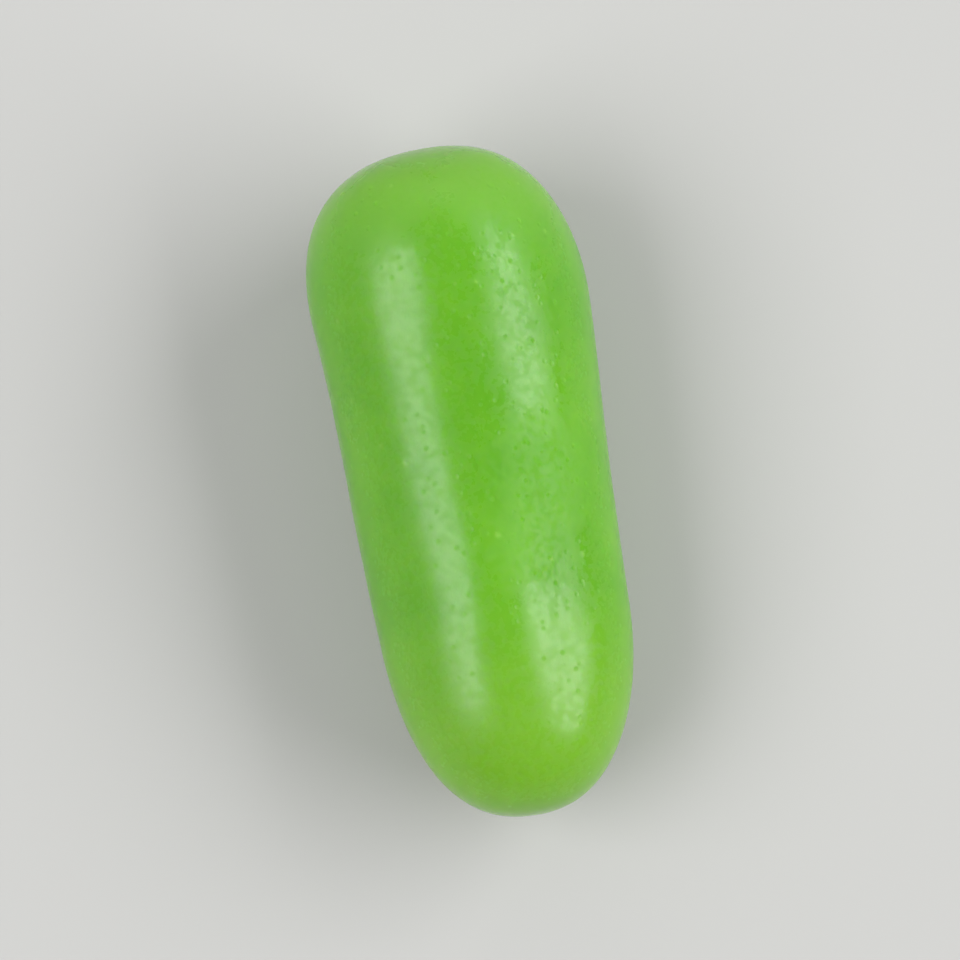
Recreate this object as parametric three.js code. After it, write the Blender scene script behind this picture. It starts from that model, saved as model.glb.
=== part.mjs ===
// A chewy fruit candy: one sugar-panned jelly piece, lying on its side.
// Lengths are in millimetres and +Z is up. The long axis is X, with the broad end towards -X,
// and the origin is on the resting surface, under the middle of the candy.
import * as THREE from "three";
import { mergeVertices } from "three/addons/utils/BufferGeometryUtils.js";

// Driving dimensions.
const LENGTH = 23;
const MIDDLE_WIDTH = 8.94; // across the candy, halfway along it
const TAPER = 0.083; // width lost for each millimetre towards the narrow end
const FLARE = 0.003; // width gained by the square of the distance from the middle
const HEIGHT_SHARE = 0.96; // a section's height against its width
const BROAD_CAP = 5.6; // how far the rounded broad end reaches along the candy
const NARROW_CAP = 6.4; // how far the rounded narrow end reaches along the candy
const BLUNTNESS = 2.3; // the power of the ends' curve: 2 is an ellipse, and more is blunter
const BEND = 0.1; // how far the candy bows sideways, towards +Y in the middle

// The underside, pressed flat where the candy rests.
const REST_DEPTH = 0.29; // how deep it is pressed
const REST_BLEND = 0.05; // the flat spot turns into the round side over this height
const REST_HOLLOW = 0.01; // how far the flat spot's middle stays off the floor
const REST_RISE = 0.05; // how steeply it leaves the floor under the rounded ends
const REST_FREE = 1.5; // swells, dents and bow come in over this height above the flat spot

// The mesh: rings round the candy, and steps along its ends and its barrel.
const AROUND = 60;
const CAP_STEPS = 17;
const BARREL_STEPS = 26;

// Broad swells of the shell, left by its tumbling in the panning drum: how high one stands,
// the distance from crest to crest, the way it runs, and where its first crest lies.
const SWELLS = [
  { height: 0.03, pitch: 9.5, runs: [0.8, 0.5, 0.3], phase: 1.2 },
  { height: 0.02, pitch: 5.2, runs: [0.45, -0.7, 0.5], phase: 0.6 },
];

// Shallow dents where the soft candy was pressed by its neighbours. One with a depth
// below zero is a low crest beside them.
const DENTS = [
  { at: [-10.8, -0.5, 5.5], reach: 2.4, depth: 0.08 },
  { at: [-8.4, 3.8, 6.2], reach: 2.4, depth: 0.22 },
  { at: [-5.8, -1.9, 8.6], reach: 2.4, depth: 0.09 },
  { at: [-4.2, 2.1, 8.4], reach: 2.2, depth: 0.22 },
  { at: [3.4, -0.2, 8.6], reach: 2.2, depth: -0.12 },
  { at: [4.6, 2.4, 8.1], reach: 2.2, depth: 0.26 },
  { at: [7.4, 2, 7.9], reach: 2.2, depth: 0.3 },
];

const BARREL_START = BROAD_CAP - LENGTH / 2;
const BARREL_END = LENGTH / 2 - NARROW_CAP;

// The nearest x of the barrel, between the two rounded ends.
const onBarrel = (x) => THREE.MathUtils.clamp(x, BARREL_START, BARREL_END);

// Half the width of the whole section at x, before the ends round it off.
const halfWidthAt = (x) => (MIDDLE_WIDTH - TAPER * x + FLARE * onBarrel(x) ** 2) / 2;

// How high the pressed underside stands above the floor at x.
function undersideAt(x) {
  const reach = (BARREL_END - BARREL_START) / 2;
  const share = Math.abs(x - BARREL_START - reach) / reach;
  return share < 1 ? REST_HOLLOW * (1 - share * share) : REST_RISE * reach * (share - 1);
}

// Turns a point of the round blank, whose radius is 1, into a point of the candy: each end
// gets its own length and a blunter curve, and the sections get their width and height.
function grow(point) {
  const core = onBarrel(point.x);
  const past = Math.abs(point.x - core);
  const out = Math.hypot(point.y, point.z);
  const blunt = (past ** BLUNTNESS + out ** BLUNTNESS) ** (1 / BLUNTNESS);
  const cap = point.x < core ? -BROAD_CAP : NARROW_CAP;
  point.x = core + (cap * past) / blunt;
  const half = halfWidthAt(point.x);
  point.y *= half / blunt;
  point.z = half * HEIGHT_SHARE * (1 + point.z / blunt);
}

// Moves a point of the candy in or out by its swells and dents, away from the candy's core
// line, and bows it sideways. The floor holds the flat spot plain.
function press(point) {
  const coreX = onBarrel(point.x);
  const core = new THREE.Vector3(coreX, 0, halfWidthAt(coreX) * HEIGHT_SHARE);
  const outward = point.clone().sub(core).normalize();
  let lift = 0;
  for (const { height, pitch, runs, phase } of SWELLS) {
    const way = new THREE.Vector3(...runs).normalize();
    lift += height * Math.sin((2 * Math.PI * point.dot(way)) / pitch + phase);
  }
  for (const { at, reach, depth } of DENTS) {
    const away = point.distanceTo(new THREE.Vector3(...at)) / reach;
    lift -= depth * Math.exp(-away * away);
  }
  const offset = outward.multiplyScalar(lift);
  offset.y += BEND * (1 / 3 - ((2 * point.x) / LENGTH) ** 2);
  const free = THREE.MathUtils.smoothstep(point.z, REST_DEPTH, REST_DEPTH + REST_FREE);
  point.addScaledVector(offset, free);
}

// Presses the underside flat at the resting surface, with a soft edge.
function rest(point) {
  const underside = undersideAt(point.x);
  const above = point.z - REST_DEPTH - underside;
  const near = Math.max(0, 1 - Math.abs(above) / REST_BLEND);
  point.z = underside + Math.max(above, 0) + (REST_BLEND / 6) * near ** 3;
}

function candyGeometry() {
  const barrel = BARREL_END - BARREL_START;
  const blank = new THREE.CapsuleGeometry(1, barrel, CAP_STEPS, AROUND, BARREL_STEPS);
  blank.deleteAttribute("normal");
  blank.deleteAttribute("uv");
  blank.rotateZ(-Math.PI / 2);
  blank.translate((BARREL_START + BARREL_END) / 2, 0, 0);
  const shell = mergeVertices(blank, 1e-3);
  const positions = shell.getAttribute("position");
  const point = new THREE.Vector3();
  for (let i = 0; i < positions.count; i++) {
    point.fromBufferAttribute(positions, i);
    for (const step of [grow, press, rest]) step(point);
    positions.setXYZ(i, point.x, point.y, point.z);
  }
  shell.computeBoundingBox();
  const middle = shell.boundingBox.getCenter(new THREE.Vector3());
  shell.translate(-middle.x, -middle.y, 0);
  shell.computeVertexNormals();
  return shell;
}

const candy = new THREE.Mesh(
  candyGeometry(),
  new THREE.MeshStandardMaterial({ color: 0x6cb834, roughness: 0.25, metalness: 0 }),
);
candy.name = "candy";

const part = new THREE.Group();
part.add(candy);

export default part;
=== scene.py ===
"""A chewy fruit candy: one sugar-panned jelly piece, lying on its side on a pale studio floor."""

import math

import bpy
from mathutils import Matrix, Vector


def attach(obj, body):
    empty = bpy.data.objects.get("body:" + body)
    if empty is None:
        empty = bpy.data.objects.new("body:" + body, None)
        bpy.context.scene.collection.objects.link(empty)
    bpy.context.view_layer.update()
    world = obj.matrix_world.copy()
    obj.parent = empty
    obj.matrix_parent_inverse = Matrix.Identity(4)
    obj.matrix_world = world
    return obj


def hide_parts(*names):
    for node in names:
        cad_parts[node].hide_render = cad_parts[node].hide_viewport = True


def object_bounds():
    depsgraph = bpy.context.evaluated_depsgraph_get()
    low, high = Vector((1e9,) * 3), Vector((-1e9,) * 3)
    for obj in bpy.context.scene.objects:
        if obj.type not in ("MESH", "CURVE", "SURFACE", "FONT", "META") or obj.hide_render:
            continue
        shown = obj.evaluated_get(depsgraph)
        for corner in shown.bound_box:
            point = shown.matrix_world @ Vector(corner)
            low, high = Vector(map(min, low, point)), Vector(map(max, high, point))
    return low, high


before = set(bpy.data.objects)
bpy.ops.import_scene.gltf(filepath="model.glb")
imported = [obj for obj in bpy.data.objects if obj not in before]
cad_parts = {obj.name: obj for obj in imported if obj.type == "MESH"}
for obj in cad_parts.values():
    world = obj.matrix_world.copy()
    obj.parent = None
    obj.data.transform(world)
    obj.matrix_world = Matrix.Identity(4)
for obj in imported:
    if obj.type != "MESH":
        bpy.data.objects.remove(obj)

CAD_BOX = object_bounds()

MM = 0.001  # metres in a millimetre

# The candy's form, as named inputs of its tree: lengths in metres.
FORM = {
    "Length": 23 * MM,
    "Middle width": 8.94 * MM,  # across the candy, halfway along it
    "Taper": 0.083,  # width lost for each unit of length towards the narrow end
    "Flare": 0.003 / MM,  # width gained by the square of the distance from the middle
    "Height share": 0.96,  # a section's height against its width
    "Broad cap": 5.6 * MM,  # how far the rounded broad end reaches along the candy
    "Narrow cap": 6.4 * MM,  # how far the rounded narrow end reaches along the candy
    "Bluntness": 2.3,  # the power of the ends' curve: 2 is an ellipse, and more is blunter
    "Bend": 0.1 * MM,  # how far the candy bows sideways, towards +Y in the middle
    "Rest depth": 0.29 * MM,  # how deep the underside is pressed flat where it rests
    "Rest blend": 0.05 * MM,  # the flat spot turns into the round side over this height
    "Rest hollow": 0.01 * MM,  # how far the flat spot's middle stays off the floor
    "Rest rise": 0.05,  # how steeply it leaves the floor under the rounded ends
    "Rest free": 1.5 * MM,  # swells, dents and bow come in over this height above it
    "Peel height": 0.018 * MM,  # the shell's soft unevenness, as on orange peel
    "Peel pitch": 1.6 * MM,
    "Grain height": 0.003 * MM,  # the fine grain of sugar crystals under the glaze
    "Grain pitch": 0.35 * MM,
    "Nib height": 0.022 * MM,  # single sugar crystals that stand up under the glaze
    "Nib reach": 0.16 * MM,
    "Pit depth": 0.022 * MM,  # pinholes where an air bubble left the sugar coat
    "Pit reach": 0.17 * MM,
}
SEED = 7

# Broad swells of the shell, left by its tumbling in the panning drum: how high one stands,
# the distance from crest to crest, the way it runs, and where its first crest lies.
SWELLS = [
    {"height": 0.03 * MM, "pitch": 9.5 * MM, "runs": (0.8, 0.5, 0.3), "phase": 1.2},
    {"height": 0.02 * MM, "pitch": 5.2 * MM, "runs": (0.45, -0.7, 0.5), "phase": 0.6},
]

# Shallow dents where the soft candy was pressed by its neighbours, in millimetres. One with
# a depth below zero is a low crest beside them.
DENTS = [
    {"at": (-10.8, -0.5, 5.5), "reach": 2.4, "depth": 0.08},
    {"at": (-8.4, 3.8, 6.2), "reach": 2.4, "depth": 0.22},
    {"at": (-5.8, -1.9, 8.6), "reach": 2.4, "depth": 0.09},
    {"at": (-4.2, 2.1, 8.4), "reach": 2.2, "depth": 0.22},
    {"at": (3.4, -0.2, 8.6), "reach": 2.2, "depth": -0.12},
    {"at": (4.6, 2.4, 8.1), "reach": 2.2, "depth": 0.26},
    {"at": (7.4, 2, 7.9), "reach": 2.2, "depth": 0.3},
]

# Where the glaze was rubbed dull by other candies, in millimetres, and how dull it is.
SCUFFS = [
    {"at": (0.5, 2.5, 8), "reach": 2.6, "dullness": 1.0},
    {"at": (2.7, 1.5, 8.3), "reach": 2.0, "dullness": 1.0},
    {"at": (-4.6, 2.2, 8.1), "reach": 2.6, "dullness": 0.2},
    {"at": (-9, 2.2, 7.4), "reach": 2.3, "dullness": 0.9},
    {"at": (-9, -1.8, 7.6), "reach": 1.9, "dullness": 0.7},
]

# The shell's mesh: points along the candy, and across each of its four sides.
POINTS_ALONG = 236
POINTS_ACROSS = 89

NIBS_PER_AREA = 0.09 / MM**2
PITS_PER_AREA = 0.11 / MM**2
SMALLEST_SPECK = 0.5  # against the largest

# The dyed shell's colours. Each end's colour comes in between two places along the candy, in
# millimetres: paler on the broad end, which is a painted sheen, and yellower on the other.
DEEP_GREEN = "#5B9E15"
LIGHT_GREEN = "#66A61A"
CRYSTAL_GREEN = "#7EB440"
END_SHEEN_AND_TINT = [
    {"start": -6.5, "end": -11, "colour": "#70A732"},
    {"start": 3, "end": 9.5, "colour": "#71A723"},
]
LIGHT_DEPTH = 3 * MM  # how far light goes into the candy
LIGHT_SHARES = (1.0, 1.6, 0.35)  # of that depth, for red, green and blue

# The distance from spot to spot in the patterns of the finishes.
PATCH_PITCH = 3.2 * MM  # of colour soaked in unevenly
WEAR_PITCH = 2.2 * MM  # of the glaze's polish
FRAY_PITCH = 0.9 * MM  # of a scuff's ragged edge
PINHOLE_PITCH = 0.42 * MM
CLUMP_PITCH = 0.25 * MM  # of clumps of crystal grain
TOOTH_PITCH = 1.5 * MM  # of the studio board

# The glaze's roughness where it is polished and worn, and what is added where it is dull.
POLISHED = 0.15
WORN = 0.26
SCUFF_DULLNESS = 0.32
CLUMP_DULLNESS = 0.22
PINHOLE_DULLNESS = 0.3

PINHOLE_DEPTH = 0.01 * MM
FRAYING = 0.8  # how far the ragged pattern moves a scuff's edge, against its reach
SCUFF_EDGE = (1.6, 0.75)  # clean from the first on, dullest up to the second, once moved

# The photograph's view of the candy.
VIEW_AZIMUTH = math.radians(80.3)
VIEW_ELEVATION = math.radians(84)
VIEW_DISTANCE = 0.165
NEAREST_SHOWN = 0.01
LENS = 182  # millimetres, as is the sensor's width
SENSOR = 36

# The softboxes: each one's way is how far it lies to the right of the candy, towards the
# broad end, and up. Its length runs along the candy.
SOFTBOXES = [
    {
        "name": "left_softbox",
        "way": (-0.66, -0.10, 0.75),
        "width": 0.42,
        "length": 0.58,
        "radiance": 4.4,
    },
    {
        "name": "left_fill",
        "way": (-0.90, 0.0, 0.45),
        "width": 1.0,
        "length": 1.2,
        "radiance": 0.42,
    },
    {
        "name": "right_softbox",
        "way": (0.80, 0.0, 0.60),
        "width": 0.38,
        "length": 0.92,
        "radiance": 5.7,
    },
    {
        "name": "broad_end_softbox",
        "way": (0.0, 0.9, 0.45),
        "width": 0.9,
        "length": 0.4,
        "radiance": 0.8,
    },
]
LIGHT_AZIMUTH = math.radians(88)  # the lights stand nearly square to the candy
LIGHT_DISTANCE = 0.7
SKY = 0.32  # the brightness of the white studio overhead
HORIZON = 0.06  # and at the floor's edge
SKY_FROM = 0.6  # the height, on a sphere of radius 1, from which it is as bright as overhead
FLOOR_HALF = 2.0
BOARD_WHITE = "#B2B2B0"


def add(tree, kind, *values, named=None, **settings):
    """Adds a node with its settings, and sets or links its inputs, in order or by name."""
    node = tree.nodes.new(kind)
    for name, value in settings.items():
        setattr(node, name, value)
    pairs = list(zip([socket for socket in node.inputs if socket.enabled], values))
    pairs += [(node.inputs[name], value) for name, value in (named or {}).items()]
    for socket, value in pairs:
        if isinstance(value, bpy.types.Node):
            value = next(output for output in value.outputs if output.enabled)
        if isinstance(value, bpy.types.NodeSocket):
            tree.links.new(value, socket)
        elif value is not None:
            socket.default_value = value
    return node


def linear(hex_colour):
    """An sRGB hex colour as linear red, green, blue and alpha."""
    shares = [int(hex_colour[i : i + 2], 16) / 255 for i in (1, 3, 5)]
    return [s / 12.92 if s <= 0.04045 else ((s + 0.055) / 1.055) ** 2.4 for s in shares] + [1]


# ---------------------------------------------------------------- the candy's form


def barrel_ends(tree, size):
    """Where the barrel starts and ends along the candy, between the two rounded ends."""
    half = add(tree, "ShaderNodeMath", size["Length"], 0.5, operation="MULTIPLY")
    start = add(tree, "ShaderNodeMath", size["Broad cap"], half, operation="SUBTRACT")
    end = add(tree, "ShaderNodeMath", half, size["Narrow cap"], operation="SUBTRACT")
    return start, end


def half_width(tree, size, x):
    """Half the width of the whole section at x, before the ends round it off."""
    lost = add(tree, "ShaderNodeMath", x, size["Taper"], operation="MULTIPLY")
    width = add(tree, "ShaderNodeMath", size["Middle width"], lost, operation="SUBTRACT")
    core_x = add(tree, "ShaderNodeClamp", x, *barrel_ends(tree, size))
    square = add(tree, "ShaderNodeMath", core_x, core_x, operation="MULTIPLY")
    flared = add(
        tree, "ShaderNodeMath", square, size["Flare"], width, operation="MULTIPLY_ADD"
    )
    return add(tree, "ShaderNodeMath", flared, 0.5, operation="MULTIPLY")


def blunted(tree, size, reach):
    """A round end's direction, drawn out onto the blunter curve of the candy's ends."""
    x = add(tree, "ShaderNodeSeparateXYZ", reach)
    along = add(tree, "ShaderNodeMath", x, operation="ABSOLUTE")
    sides = add(tree, "ShaderNodeVectorMath", reach, (0, 1, 1), operation="MULTIPLY")
    out = add(tree, "ShaderNodeVectorMath", sides, operation="LENGTH").outputs["Value"]
    along = add(tree, "ShaderNodeMath", along, size["Bluntness"], operation="POWER")
    out = add(tree, "ShaderNodeMath", out, size["Bluntness"], operation="POWER")
    total = add(tree, "ShaderNodeMath", along, out)
    root = add(tree, "ShaderNodeMath", -1.0, size["Bluntness"], operation="DIVIDE")
    grown = add(tree, "ShaderNodeMath", total, root, operation="POWER")
    return add(tree, "ShaderNodeVectorMath", reach, grown, operation="SCALE")


def grow(tree, size):
    """The plain candy in even quads: a box, its points drawn in towards the barrel's core line
    and out again to the tapered sections and the two rounded ends."""
    # A box a quarter turn wide: the tangents of its even steps lie evenly round a section.
    quarter = math.pi / 2
    start, end = barrel_ends(tree, size)
    radius = add(tree, "ShaderNodeMath", size["Middle width"], 0.5, operation="MULTIPLY")
    low = add(tree, "ShaderNodeMath", start, radius, operation="SUBTRACT")
    high = add(tree, "ShaderNodeMath", end, radius)
    box_length = add(tree, "ShaderNodeMath", high, low, operation="SUBTRACT")
    box_size = add(tree, "ShaderNodeCombineXYZ", box_length, quarter, quarter)
    box = add(
        tree, "GeometryNodeMeshCube", box_size, POINTS_ALONG, POINTS_ACROSS, POINTS_ACROSS
    )
    both = add(tree, "ShaderNodeMath", low, high)
    middle = add(tree, "ShaderNodeMath", both, 0.5, operation="MULTIPLY")

    place = add(tree, "GeometryNodeInputPosition")
    centred = add(tree, "ShaderNodeSeparateXYZ", place)
    x = add(tree, "ShaderNodeMath", centred, middle)
    core = add(tree, "ShaderNodeClamp", x, start, end)
    past = add(tree, "ShaderNodeMath", x, core, operation="SUBTRACT")
    share = add(tree, "ShaderNodeMath", past, radius, operation="DIVIDE")
    even = add(tree, "ShaderNodeVectorMath", place, operation="TANGENT")
    sides = add(tree, "ShaderNodeSeparateXYZ", even)
    towards = add(
        tree, "ShaderNodeCombineXYZ", share, sides.outputs["Y"], sides.outputs["Z"]
    )
    reach = add(tree, "ShaderNodeVectorMath", towards, operation="NORMALIZE")
    parts = add(tree, "ShaderNodeSeparateXYZ", blunted(tree, size, reach))
    broad = add(tree, "ShaderNodeMath", parts, 0.0, operation="LESS_THAN")
    cap = add(
        tree, "ShaderNodeMix", broad, size["Narrow cap"], size["Broad cap"], data_type="FLOAT"
    )
    grown_x = add(tree, "ShaderNodeMath", parts, cap, core, operation="MULTIPLY_ADD")
    half = half_width(tree, size, grown_x)
    tall = add(tree, "ShaderNodeMath", half, size["Height share"], operation="MULTIPLY")
    grown_y = add(tree, "ShaderNodeMath", parts.outputs["Y"], half, operation="MULTIPLY")
    grown_z = add(
        tree, "ShaderNodeMath", parts.outputs["Z"], tall, tall, operation="MULTIPLY_ADD"
    )
    grown = add(tree, "ShaderNodeCombineXYZ", grown_x, grown_y, grown_z)
    return add(tree, "GeometryNodeSetPosition", box, None, grown)


def outward(tree, size, place, x):
    """The way out of the candy from its core line."""
    core_x = add(tree, "ShaderNodeClamp", x, *barrel_ends(tree, size))
    half = half_width(tree, size, core_x)
    height = add(tree, "ShaderNodeMath", half, size["Height share"], operation="MULTIPLY")
    core = add(tree, "ShaderNodeCombineXYZ", core_x, 0.0, height)
    away = add(tree, "ShaderNodeVectorMath", place, core, operation="SUBTRACT")
    return add(tree, "ShaderNodeVectorMath", away, operation="NORMALIZE")


def swollen_and_dented(tree, place):
    """How far the swells and dents move the shell outwards."""
    lift = 0.0
    for swell in SWELLS:
        wave = Vector(swell["runs"]).normalized() * 2 * math.pi / swell["pitch"]
        turn = add(tree, "ShaderNodeVectorMath", place, wave, operation="DOT_PRODUCT")
        shifted = add(tree, "ShaderNodeMath", turn.outputs["Value"], swell["phase"])
        sine = add(tree, "ShaderNodeMath", shifted, operation="SINE")
        lift = add(
            tree, "ShaderNodeMath", sine, swell["height"], lift, operation="MULTIPLY_ADD"
        )
    for dent in DENTS:
        at = Vector(dent["at"]) * MM
        gap = add(tree, "ShaderNodeVectorMath", place, at, operation="DISTANCE")
        reach = dent["reach"] * MM
        share = add(tree, "ShaderNodeMath", gap.outputs["Value"], reach, operation="DIVIDE")
        square = add(tree, "ShaderNodeMath", share, 2.0, operation="POWER")
        fade = add(tree, "ShaderNodeMath", 1 / math.e, square, operation="POWER")
        depth = dent["depth"] * MM
        lift = add(tree, "ShaderNodeMath", fade, -depth, lift, operation="MULTIPLY_ADD")
    return lift


def bowed(tree, size, x):
    """How far the candy's bow moves it sideways at x."""
    share = add(tree, "ShaderNodeMath", x, size["Length"], operation="DIVIDE")
    twice = add(tree, "ShaderNodeMath", share, 2.0, operation="MULTIPLY")
    square = add(tree, "ShaderNodeMath", twice, 2.0, operation="POWER")
    left = add(tree, "ShaderNodeMath", 1 / 3, square, operation="SUBTRACT")
    return add(tree, "ShaderNodeMath", left, size["Bend"], operation="MULTIPLY")


def press(tree, size, shell):
    """Moves the shell in or out by its swells and dents, away from the candy's core line, and
    bows it sideways. The floor holds the flat spot plain."""
    place = add(tree, "GeometryNodeInputPosition")
    parts = add(tree, "ShaderNodeSeparateXYZ", place)
    lift = swollen_and_dented(tree, place)
    lifted = add(
        tree, "ShaderNodeVectorMath", outward(tree, size, place, parts), lift, operation="SCALE"
    )
    side = add(tree, "ShaderNodeCombineXYZ", 0.0, bowed(tree, size, parts))
    offset = add(tree, "ShaderNodeVectorMath", lifted, side, operation="ADD")
    top = add(tree, "ShaderNodeMath", size["Rest depth"], size["Rest free"])
    free = add(
        tree,
        "ShaderNodeMapRange",
        parts.outputs["Z"],
        size["Rest depth"],
        top,
        interpolation_type="SMOOTHSTEP",
    )
    held = add(tree, "ShaderNodeVectorMath", offset, free, operation="SCALE")
    return add(tree, "GeometryNodeSetPosition", shell, None, None, held)


def nearness(tree, shell, per_area, reach, seed):
    """1 on one of the specks strewn over the shell, falling to 0 at its reach."""
    strewn = add(
        tree,
        "GeometryNodeDistributePointsOnFaces",
        shell,
        named={"Density": per_area, "Seed": seed},
    )
    gap = add(tree, "GeometryNodeProximity", strewn, target_element="POINTS")
    nearest = add(tree, "GeometryNodeSampleNearest", strewn)
    drawn = add(
        tree,
        "FunctionNodeRandomValue",
        named={"Min": SMALLEST_SPECK, "Max": 1.0, "Seed": seed},
        data_type="FLOAT",
    )
    own_size = add(
        tree, "GeometryNodeSampleIndex", strewn, drawn, nearest, data_type="FLOAT"
    )
    own_reach = add(tree, "ShaderNodeMath", own_size, reach, operation="MULTIPLY")
    share = add(
        tree, "ShaderNodeMath", gap.outputs["Distance"], own_reach, operation="DIVIDE"
    )
    return add(
        tree,
        "ShaderNodeMapRange",
        share,
        0.0,
        1.0,
        1.0,
        0.0,
        interpolation_type="SMOOTHSTEP",
    )


def uneven(tree, pitch):
    """A soft random pattern with about one bump for each pitch, from -0.5 to 0.5."""
    scale = add(tree, "ShaderNodeMath", 1.0, pitch, operation="DIVIDE")
    texture = add(tree, "ShaderNodeTexNoise", named={"Scale": scale, "Detail": 1.0})
    return add(tree, "ShaderNodeMath", texture, 0.5, operation="SUBTRACT")


def relief(tree, size, shell):
    """The sugar coat's own surface: peel, grain, nibs and pits."""
    nibs = nearness(tree, shell, NIBS_PER_AREA, size["Nib reach"], SEED)
    pits = nearness(tree, shell, PITS_PER_AREA, size["Pit reach"], SEED + 1)
    pit_height = add(tree, "ShaderNodeMath", size["Pit depth"], -1.0, operation="MULTIPLY")
    lift = 0.0
    for pattern, height in [
        (uneven(tree, size["Peel pitch"]), size["Peel height"]),
        (uneven(tree, size["Grain pitch"]), size["Grain height"]),
        (nibs, size["Nib height"]),
        (pits, pit_height),
    ]:
        lift = add(tree, "ShaderNodeMath", pattern, height, lift, operation="MULTIPLY_ADD")
    normal = add(tree, "GeometryNodeInputNormal")
    offset = add(tree, "ShaderNodeVectorMath", normal, lift, operation="SCALE")
    marked = add(
        tree,
        "GeometryNodeStoreNamedAttribute",
        shell,
        named={"Name": "nibs", "Value": nibs},
        data_type="FLOAT",
    )
    return add(tree, "GeometryNodeSetPosition", marked, None, None, offset)


def underside(tree, size, x):
    """How high the pressed underside stands above the floor at x."""
    start, end = barrel_ends(tree, size)
    length = add(tree, "ShaderNodeMath", end, start, operation="SUBTRACT")
    reach = add(tree, "ShaderNodeMath", length, 0.5, operation="MULTIPLY")
    middle = add(tree, "ShaderNodeMath", start, reach)
    gap = add(tree, "ShaderNodeMath", x, middle, operation="SUBTRACT")
    away = add(tree, "ShaderNodeMath", gap, operation="ABSOLUTE")
    share = add(tree, "ShaderNodeMath", away, reach, operation="DIVIDE")
    square = add(tree, "ShaderNodeMath", share, share, operation="MULTIPLY")
    left = add(tree, "ShaderNodeMath", 1.0, square, operation="SUBTRACT")
    inside = add(tree, "ShaderNodeMath", left, 0.0, operation="MAXIMUM")
    hollow = add(tree, "ShaderNodeMath", inside, size["Rest hollow"], operation="MULTIPLY")
    past = add(tree, "ShaderNodeMath", away, reach, operation="SUBTRACT")
    outside = add(tree, "ShaderNodeMath", past, 0.0, operation="MAXIMUM")
    return add(
        tree, "ShaderNodeMath", outside, size["Rest rise"], hollow, operation="MULTIPLY_ADD"
    )


def rest(tree, size, shell):
    """Presses the underside flat at the resting surface, with a soft edge."""
    place = add(tree, "ShaderNodeSeparateXYZ", add(tree, "GeometryNodeInputPosition"))
    lowest = underside(tree, size, place)
    lowered = add(
        tree, "ShaderNodeMath", place.outputs["Z"], size["Rest depth"], operation="SUBTRACT"
    )
    eased = add(
        tree, "ShaderNodeMath", lowered, lowest, size["Rest blend"], operation="SMOOTH_MAX"
    )
    moved = add(tree, "ShaderNodeCombineXYZ", place, place.outputs["Y"], eased)
    return add(tree, "GeometryNodeSetPosition", shell, None, moved)


def centre(tree, size, shell):
    """Brings the middle of the candy's box over the origin."""
    box = add(tree, "GeometryNodeBoundBox", shell)
    both = add(
        tree, "ShaderNodeVectorMath", box.outputs["Min"], box.outputs["Max"], operation="ADD"
    )
    back = add(tree, "ShaderNodeVectorMath", both, (-0.5, -0.5, 0.0), operation="MULTIPLY")
    return add(tree, "GeometryNodeSetPosition", shell, None, None, back)


def candy_form(finish):
    """The tree that makes the candy's shell from its named sizes."""
    tree = bpy.data.node_groups.new("candy_form", "GeometryNodeTree")
    for name in FORM:
        tree.interface.new_socket(name, in_out="INPUT", socket_type="NodeSocketFloat")
    tree.interface.new_socket("Shell", in_out="OUTPUT", socket_type="NodeSocketGeometry")
    size = add(tree, "NodeGroupInput").outputs
    shell = grow(tree, size)
    for step in (press, relief, rest, centre):
        shell = step(tree, size, shell)
    smooth = add(tree, "GeometryNodeSetShadeSmooth", shell)
    real = add(tree, "GeometryNodeRealizeInstances", smooth)
    coated = add(tree, "GeometryNodeSetMaterial", real, named={"Material": finish})
    add(tree, "NodeGroupOutput", coated)
    return tree


def make_candy(finish):
    """The candy as one plain mesh, made by its tree."""
    tree = candy_form(finish)
    candy = bpy.data.objects.new("sugar_shell", bpy.data.meshes.new("sugar_shell"))
    bpy.context.scene.collection.objects.link(candy)
    form = candy.modifiers.new("form", "NODES")
    form.node_group = tree
    for item in tree.interface.items_tree:
        if item.in_out == "INPUT":
            form[item.identifier] = FORM[item.name]
    graph = bpy.context.evaluated_depsgraph_get()
    mesh = bpy.data.meshes.new_from_object(
        candy.evaluated_get(graph), preserve_all_data_layers=True, depsgraph=graph
    )
    candy.modifiers.remove(form)
    candy.data = mesh
    return candy


# ---------------------------------------------------------------- finishes


def new_material(name):
    """A material with an empty tree, and its Object coordinates."""
    material = bpy.data.materials.new(name)
    material.use_nodes = True
    tree = material.node_tree
    tree.nodes.clear()
    return material, tree, add(tree, "ShaderNodeTexCoord").outputs["Object"]


def mixed(tree, factor, first, second):
    """A blend from the first colour to the second."""
    first, second = (linear(c) if isinstance(c, str) else c for c in (first, second))
    return add(tree, "ShaderNodeMix", factor, first, second, data_type="RGBA")


def dyed_sugar_and_sheen(tree, place):
    """The shell's colour: uneven patches, a painted sheen that makes the broad end paler, a
    yellower narrow end, and pale crystals.
    """
    # The colour soaked into each layer of syrup unevenly: soft patches a few millimetres wide.
    patches = add(
        tree,
        "ShaderNodeTexNoise",
        named={"Vector": place, "Scale": 1 / PATCH_PITCH, "Detail": 6.0, "Roughness": 0.6},
    )
    soaked = add(tree, "ShaderNodeMapRange", patches, 0.35, 0.65)
    body = mixed(tree, soaked, DEEP_GREEN, LIGHT_GREEN)
    along = add(tree, "ShaderNodeSeparateXYZ", place)
    # Painted sheen: the broad end's colour is made paler. The narrow end's colour turns yellower.
    for end_colour in END_SHEEN_AND_TINT:
        share = add(
            tree,
            "ShaderNodeMapRange",
            along,
            end_colour["start"] * MM,
            end_colour["end"] * MM,
            interpolation_type="SMOOTHSTEP",
        )
        body = mixed(tree, share, body, end_colour["colour"])
    # Single sugar crystals show as paler specks.
    nibs = add(tree, "ShaderNodeAttribute", attribute_name="nibs").outputs["Fac"]
    return mixed(tree, nibs, body, CRYSTAL_GREEN)


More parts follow.
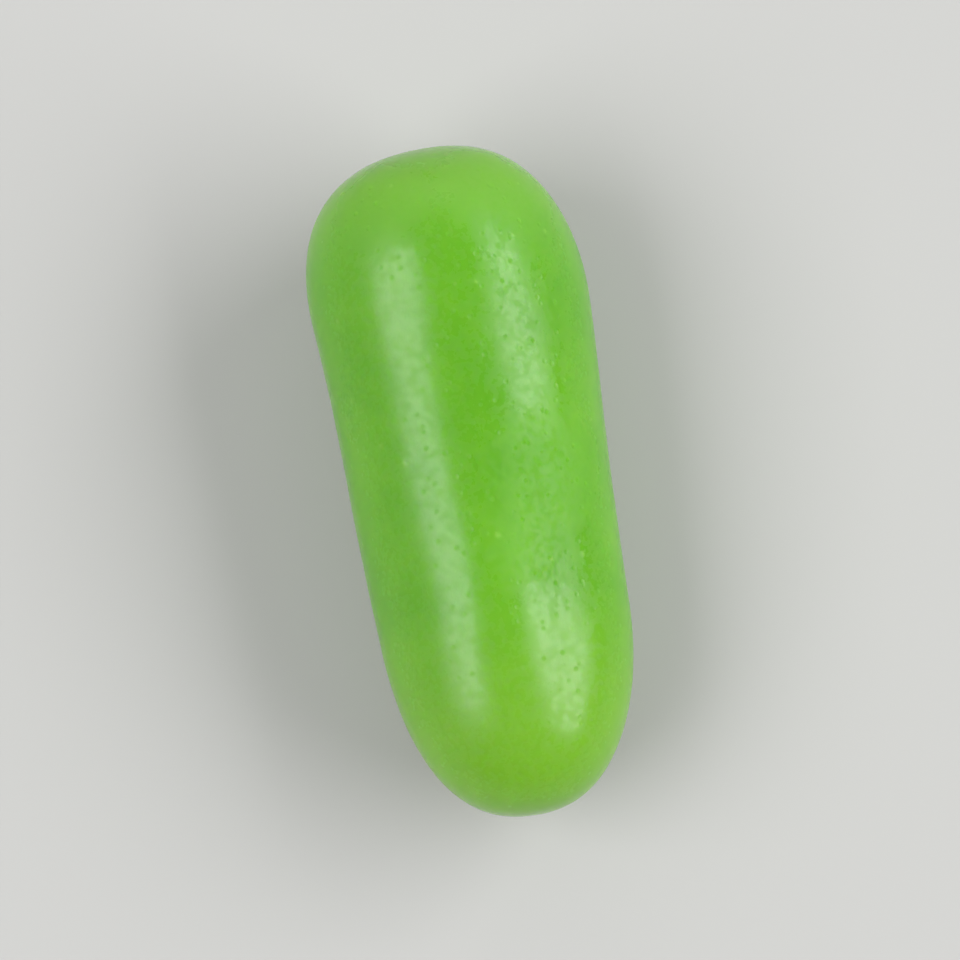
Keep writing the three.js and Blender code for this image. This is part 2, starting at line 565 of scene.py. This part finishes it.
def scuffed(tree, place):
    """How far the glaze is rubbed dull: 1 where it is dullest, with a ragged edge."""
    ragged = add(
        tree, "ShaderNodeTexNoise", named={"Vector": place, "Scale": 1 / FRAY_PITCH, "Detail": 3.0}
    )
    total = 0.0
    for scuff in SCUFFS:
        at = Vector(scuff["at"]) * MM
        gap = add(tree, "ShaderNodeVectorMath", place, at, operation="DISTANCE")
        reach = scuff["reach"] * MM
        share = add(tree, "ShaderNodeMath", gap.outputs["Value"], reach, operation="DIVIDE")
        frayed = add(tree, "ShaderNodeMath", ragged, FRAYING, share, operation="MULTIPLY_ADD")
        dull = add(
            tree,
            "ShaderNodeMapRange",
            frayed,
            *SCUFF_EDGE,
            0.0,
            scuff["dullness"],
            interpolation_type="SMOOTHSTEP",
        )
        total = add(tree, "ShaderNodeMath", dull, total, operation="MAXIMUM")
    return total


def panned_sugar_shell():
    """Hard-panned sugar shell over jelly, polished with confectioner's glaze: bright green,
    lit from within where it is thin, with a soft gloss broken up by fine grain."""
    material, tree, place = new_material("panned_sugar_shell")
    # Crystal grain is too fine to show, so it is drawn as clumps, which mottle the highlights.
    grain = add(
        tree, "ShaderNodeTexNoise", named={"Vector": place, "Scale": 1 / CLUMP_PITCH, "Detail": 2.0}
    )
    clumps = add(tree, "ShaderNodeMapRange", grain, 0.42, 0.65)
    # Pinholes up to 0.2 mm wide, which look dark in the highlights.
    gap = add(
        tree, "ShaderNodeTexVoronoi", named={"Vector": place, "Scale": 1 / PINHOLE_PITCH}
    )
    pinholes = add(
        tree, "ShaderNodeMapRange", gap, 0.26, 0.06, interpolation_type="SMOOTHSTEP"
    )
    # Seen at a slant, clumps and pinholes crowd together and the glaze looks even.
    slant = add(tree, "ShaderNodeLayerWeight", 0.5).outputs["Facing"]
    clear = add(tree, "ShaderNodeMapRange", slant, 0.3, 0.65, 1.0, 0.0)
    clumps, pinholes = (
        add(tree, "ShaderNodeMath", pattern, clear, operation="MULTIPLY")
        for pattern in (clumps, pinholes)
    )
    bump = add(
        tree,
        "ShaderNodeBump",
        named={"Height": pinholes, "Strength": 1.0, "Distance": PINHOLE_DEPTH},
        invert=True,
    )
    # The glaze wears unevenly, and is dull where it was rubbed, on the clumps and in pinholes.
    wear = add(
        tree, "ShaderNodeTexNoise", named={"Vector": place, "Scale": 1 / WEAR_PITCH, "Detail": 4.0}
    )
    roughness = add(tree, "ShaderNodeMapRange", wear, 0.3, 0.7, POLISHED, WORN)
    for pattern, dullness in (
        (scuffed(tree, place), SCUFF_DULLNESS),
        (clumps, CLUMP_DULLNESS),
        (pinholes, PINHOLE_DULLNESS),
    ):
        roughness = add(
            tree, "ShaderNodeMath", pattern, dullness, roughness, operation="MULTIPLY_ADD"
        )
    shader = add(
        tree,
        "ShaderNodeBsdfPrincipled",
        named={
            "Base Color": dyed_sugar_and_sheen(tree, place),
            "Roughness": roughness,
            "IOR": 1.46,
            "Normal": bump,
            "Subsurface Weight": 1.0,
            "Subsurface Radius": LIGHT_SHARES,
            "Subsurface Scale": LIGHT_DEPTH,
        },
    )
    add(tree, "ShaderNodeOutputMaterial", shader)
    return material


def studio_board():
    """Matt white studio board: even and pale, with a faint tooth that the light barely shows."""
    material, tree, place = new_material("matt_studio_board")
    tooth = add(tree, "ShaderNodeTexNoise", named={"Vector": place, "Scale": 1 / TOOTH_PITCH})
    bump = add(
        tree, "ShaderNodeBump", named={"Height": tooth, "Strength": 0.1, "Distance": 0.02 * MM}
    )
    shader = add(
        tree,
        "ShaderNodeBsdfPrincipled",
        named={"Base Color": linear(BOARD_WHITE), "Roughness": 0.8, "Normal": bump},
    )
    add(tree, "ShaderNodeOutputMaterial", shader)
    return material


# ---------------------------------------------------------------- stage


def make_floor():
    """The studio board that the candy lies on."""
    mesh = bpy.data.meshes.new("floor")
    half = FLOOR_HALF
    corners = [(-half, -half, 0), (half, -half, 0), (half, half, 0), (-half, half, 0)]
    mesh.from_pydata(corners, [], [(0, 1, 2, 3)])
    mesh.materials.append(studio_board())
    floor = bpy.data.objects.new("floor", mesh)
    bpy.context.scene.collection.objects.link(floor)
    return floor


def make_camera(target):
    """The camera, which looks at the target from the photograph's angle."""
    data = bpy.data.cameras.new("camera")
    data.lens = LENS
    data.sensor_width = SENSOR
    data.clip_start = NEAREST_SHOWN
    camera = bpy.data.objects.new("camera", data)
    bpy.context.scene.collection.objects.link(camera)
    level = math.cos(VIEW_ELEVATION)
    back = Vector(
        (
            math.sin(VIEW_AZIMUTH) * level,
            -math.cos(VIEW_AZIMUTH) * level,
            math.sin(VIEW_ELEVATION),
        )
    )
    camera.location = target + back * VIEW_DISTANCE
    camera.rotation_euler = (-back).to_track_quat("-Z", "Y").to_euler()
    bpy.context.scene.camera = camera


def make_softbox(name, way, width, length, radiance):
    """A softbox that faces the candy, with its length along the candy."""
    right = Vector((math.cos(LIGHT_AZIMUTH), math.sin(LIGHT_AZIMUTH), 0))
    top = Vector((-math.sin(LIGHT_AZIMUTH), math.cos(LIGHT_AZIMUTH), 0))
    out = (right * way[0] + top * way[1] + Vector((0, 0, way[2]))).normalized()
    across = top.cross(out).normalized()
    data = bpy.data.lights.new(name, "AREA")
    data.shape = "RECTANGLE"
    data.size = width
    data.size_y = length
    data.energy = radiance * math.pi * width * length
    light = bpy.data.objects.new(name, data)
    bpy.context.scene.collection.objects.link(light)
    light.location = out * LIGHT_DISTANCE
    light.rotation_euler = Matrix((across, out.cross(across), out)).transposed().to_euler()


def make_world():
    """A white studio, brighter overhead than at the horizon."""
    world = bpy.data.worlds.new("studio")
    world.use_nodes = True
    tree = world.node_tree
    way = add(tree, "ShaderNodeTexCoord").outputs["Generated"]
    height = add(tree, "ShaderNodeSeparateXYZ", way).outputs["Z"]
    glow = add(tree, "ShaderNodeMapRange", height, 0.0, SKY_FROM, HORIZON, SKY)
    background = tree.nodes["Background"]
    background.inputs["Color"].default_value = (1, 1, 1, 1)
    tree.links.new(glow.outputs[0], background.inputs["Strength"])
    bpy.context.scene.world = world


candy = make_candy(panned_sugar_shell())
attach(candy, "root")
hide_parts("candy")

floor = make_floor()

low, high = CAD_BOX
make_camera((low + high) / 2)
for softbox in SOFTBOXES:
    make_softbox(**softbox)
make_world()
bpy.context.scene.view_settings.view_transform = "Standard"
